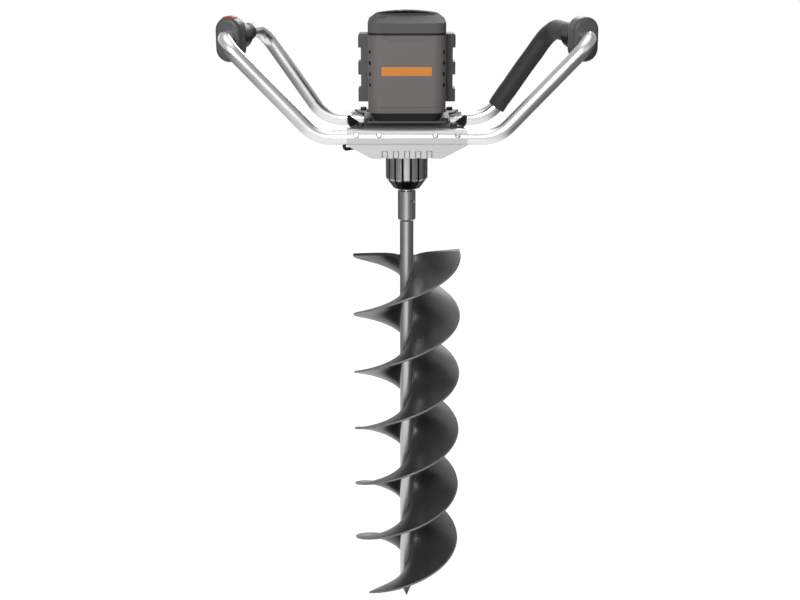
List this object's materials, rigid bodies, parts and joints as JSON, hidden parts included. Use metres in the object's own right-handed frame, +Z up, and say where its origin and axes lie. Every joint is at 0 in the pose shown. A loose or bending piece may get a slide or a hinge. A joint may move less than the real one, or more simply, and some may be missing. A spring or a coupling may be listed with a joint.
{
  "type": "earth auger",
  "caption": "Hand-held battery earth auger: a double-start auger bit under a geared motor head, carried by two bent tube handles.",
  "frame": {"origin": "tip of the drill point, on the axis of the bit", "axes": "+Z up along the bit, X across the two handles, -Y to the front, where the picture looks from"},
  "size_m": [0.6562, 0.2614, 1.1453],
  "materials": {
    "black_flight": "satin black powder coat",
    "dark_steel": "dark satin steel",
    "bright_steel": "ground steel",
    "gear_steel": "machined steel",
    "cast_gearbox": "cast aluminium, dark",
    "tube_aluminium": "polished",
    "plate_aluminium": "matt sheet",
    "black_plate": "black powder coat",
    "grey_plastic": "fine grain",
    "dark_plastic": "fine grain",
    "black_plastic": "fine grain",
    "grip_rubber": "soft, satin",
    "foam_rubber": "closed-cell foam",
    "orange_plastic": "satin",
    "copper_wire": "enamelled copper"
  },
  "bodies": {
    "frame": {"ring_gear": "gear_steel", "gear_housing": "cast_gearbox", "gearbox_cover": "cast_gearbox", "lower_bearing": "bright_steel", "upper_bearing": "bright_steel", "oil_seal": "grip_rubber", "input_bearing": "bright_steel", "flange_bolts": "dark_steel", "stator": "dark_steel", "windings": "copper_wire", "motor_case": "cast_gearbox", "motor_bearing": "bright_steel", "base_plate": "black_plate", "base_bolts": "black_plate", "adapter_plate": "plate_aluminium", "skirt": "black_plastic", "front_saddle": "plate_aluminium", "rear_saddle": "plate_aluminium", "saddle_screws": "bright_steel", "left_tube": "tube_aluminium", "right_tube": "tube_aluminium", "left_control_housing": "grey_plastic", "right_control_housing": "grey_plastic", "left_grip": "black_plastic", "right_grip": "black_plastic", "trigger_pin": "bright_steel", "lock_spring": "bright_steel", "switch": "black_plastic", "rear_sleeves": "grip_rubber", "foam_sleeve": "foam_rubber", "control_cable": "grip_rubber", "front_shell": "grey_plastic", "rear_shell": "grey_plastic", "side_covers": "dark_plastic", "cover_screws": "dark_steel", "battery_tray": "black_plastic", "battery_packs": "black_plastic", "lid_pin": "bright_steel"},
    "bit": {"flight_a": "black_flight", "flight_b": "black_flight", "bit_shaft": "dark_steel", "drill_point": "dark_steel", "collar": "dark_steel", "cross_pin": "dark_steel", "output_shaft": "bright_steel", "second_planet_pins": "gear_steel"},
    "first_carrier": {"first_carrier": "gear_steel", "first_planet_pins": "gear_steel"},
    "rotor": {"motor_shaft": "bright_steel", "rotor": "dark_steel", "cooling_fan": "black_plastic"},
    "trigger": {"trigger": "black_plastic"},
    "lock_button": {"lock_button": "orange_plastic"},
    "lid": {"battery_lid": "grey_plastic"},
    "second_planet_1": {"second_planet_1": "gear_steel"},
    "second_planet_2": {"second_planet_2": "gear_steel"},
    "second_planet_3": {"second_planet_3": "gear_steel"},
    "first_planet_1": {"first_planet_1": "gear_steel"},
    "first_planet_2": {"first_planet_2": "gear_steel"},
    "first_planet_3": {"first_planet_3": "gear_steel"}
  },
  "joints": [
    {"name": "bit_spin", "type": "hinge", "parent": "frame", "child": "bit", "pos_m": [0, 0, 0.8], "axis": [0, 0, -1], "continuous": true},
    {"name": "carrier_spin", "type": "hinge", "parent": "frame", "child": "first_carrier", "pos_m": [0, 0, 0.9], "axis": [0, 0, -1], "continuous": true},
    {"name": "rotor_spin", "type": "hinge", "parent": "frame", "child": "rotor", "pos_m": [0, 0, 0.99], "axis": [0, 0, -1], "continuous": true},
    {"name": "second_planet_1_spin", "type": "hinge", "parent": "bit", "child": "second_planet_1", "pos_m": [0.015, 0, 0.8934], "axis": [0, 0, -1], "continuous": true},
    {"name": "first_planet_1_spin", "type": "hinge", "parent": "first_carrier", "child": "first_planet_1", "pos_m": [0.015, 0, 0.9144], "axis": [0, 0, -1], "continuous": true},
    {"name": "second_planet_2_spin", "type": "hinge", "parent": "bit", "child": "second_planet_2", "pos_m": [-0.0075, 0.01299, 0.8934], "axis": [0, 0, -1], "continuous": true},
    {"name": "first_planet_2_spin", "type": "hinge", "parent": "first_carrier", "child": "first_planet_2", "pos_m": [-0.0075, 0.01299, 0.9144], "axis": [0, 0, -1], "continuous": true},
    {"name": "second_planet_3_spin", "type": "hinge", "parent": "bit", "child": "second_planet_3", "pos_m": [-0.0075, -0.01299, 0.8934], "axis": [0, 0, -1], "continuous": true},
    {"name": "first_planet_3_spin", "type": "hinge", "parent": "first_carrier", "child": "first_planet_3", "pos_m": [-0.0075, -0.01299, 0.9144], "axis": [0, 0, -1], "continuous": true},
    {"name": "trigger_pull", "type": "hinge", "parent": "frame", "child": "trigger", "pos_m": [-0.29488, -0.01625, 1.0865], "axis": [-0.9791, 0.2036, 0], "range_deg": [0, 4], "stiffness_Nm_per_rad": 0.6, "springref_deg": -8.59},
    {"name": "lock_press", "type": "slide", "parent": "frame", "child": "lock_button", "axis": [0, 0, -1], "range_m": [0, 0.0025], "stiffness_N_per_m": 400, "springref_m": -0.002, "deforming": ["lock_spring"]},
    {"name": "lid_hinge", "type": "hinge", "parent": "frame", "child": "lid", "pos_m": [0, 0.0809, 1.1039], "axis": [-1, 0, 0], "range_deg": [0, 100]}
  ],
  "couplings": [
    {"joint": "carrier_spin", "follows": "bit_spin", "ratio": 5},
    {"joint": "rotor_spin", "follows": "bit_spin", "ratio": 25},
    {"joint": "second_planet_1_spin", "follows": "bit_spin", "ratio": -2.6667},
    {"joint": "first_planet_1_spin", "follows": "bit_spin", "ratio": -13.333},
    {"joint": "second_planet_2_spin", "follows": "bit_spin", "ratio": -2.6667},
    {"joint": "first_planet_2_spin", "follows": "bit_spin", "ratio": -13.333},
    {"joint": "second_planet_3_spin", "follows": "bit_spin", "ratio": -2.6667},
    {"joint": "first_planet_3_spin", "follows": "bit_spin", "ratio": -13.333}
  ]
}
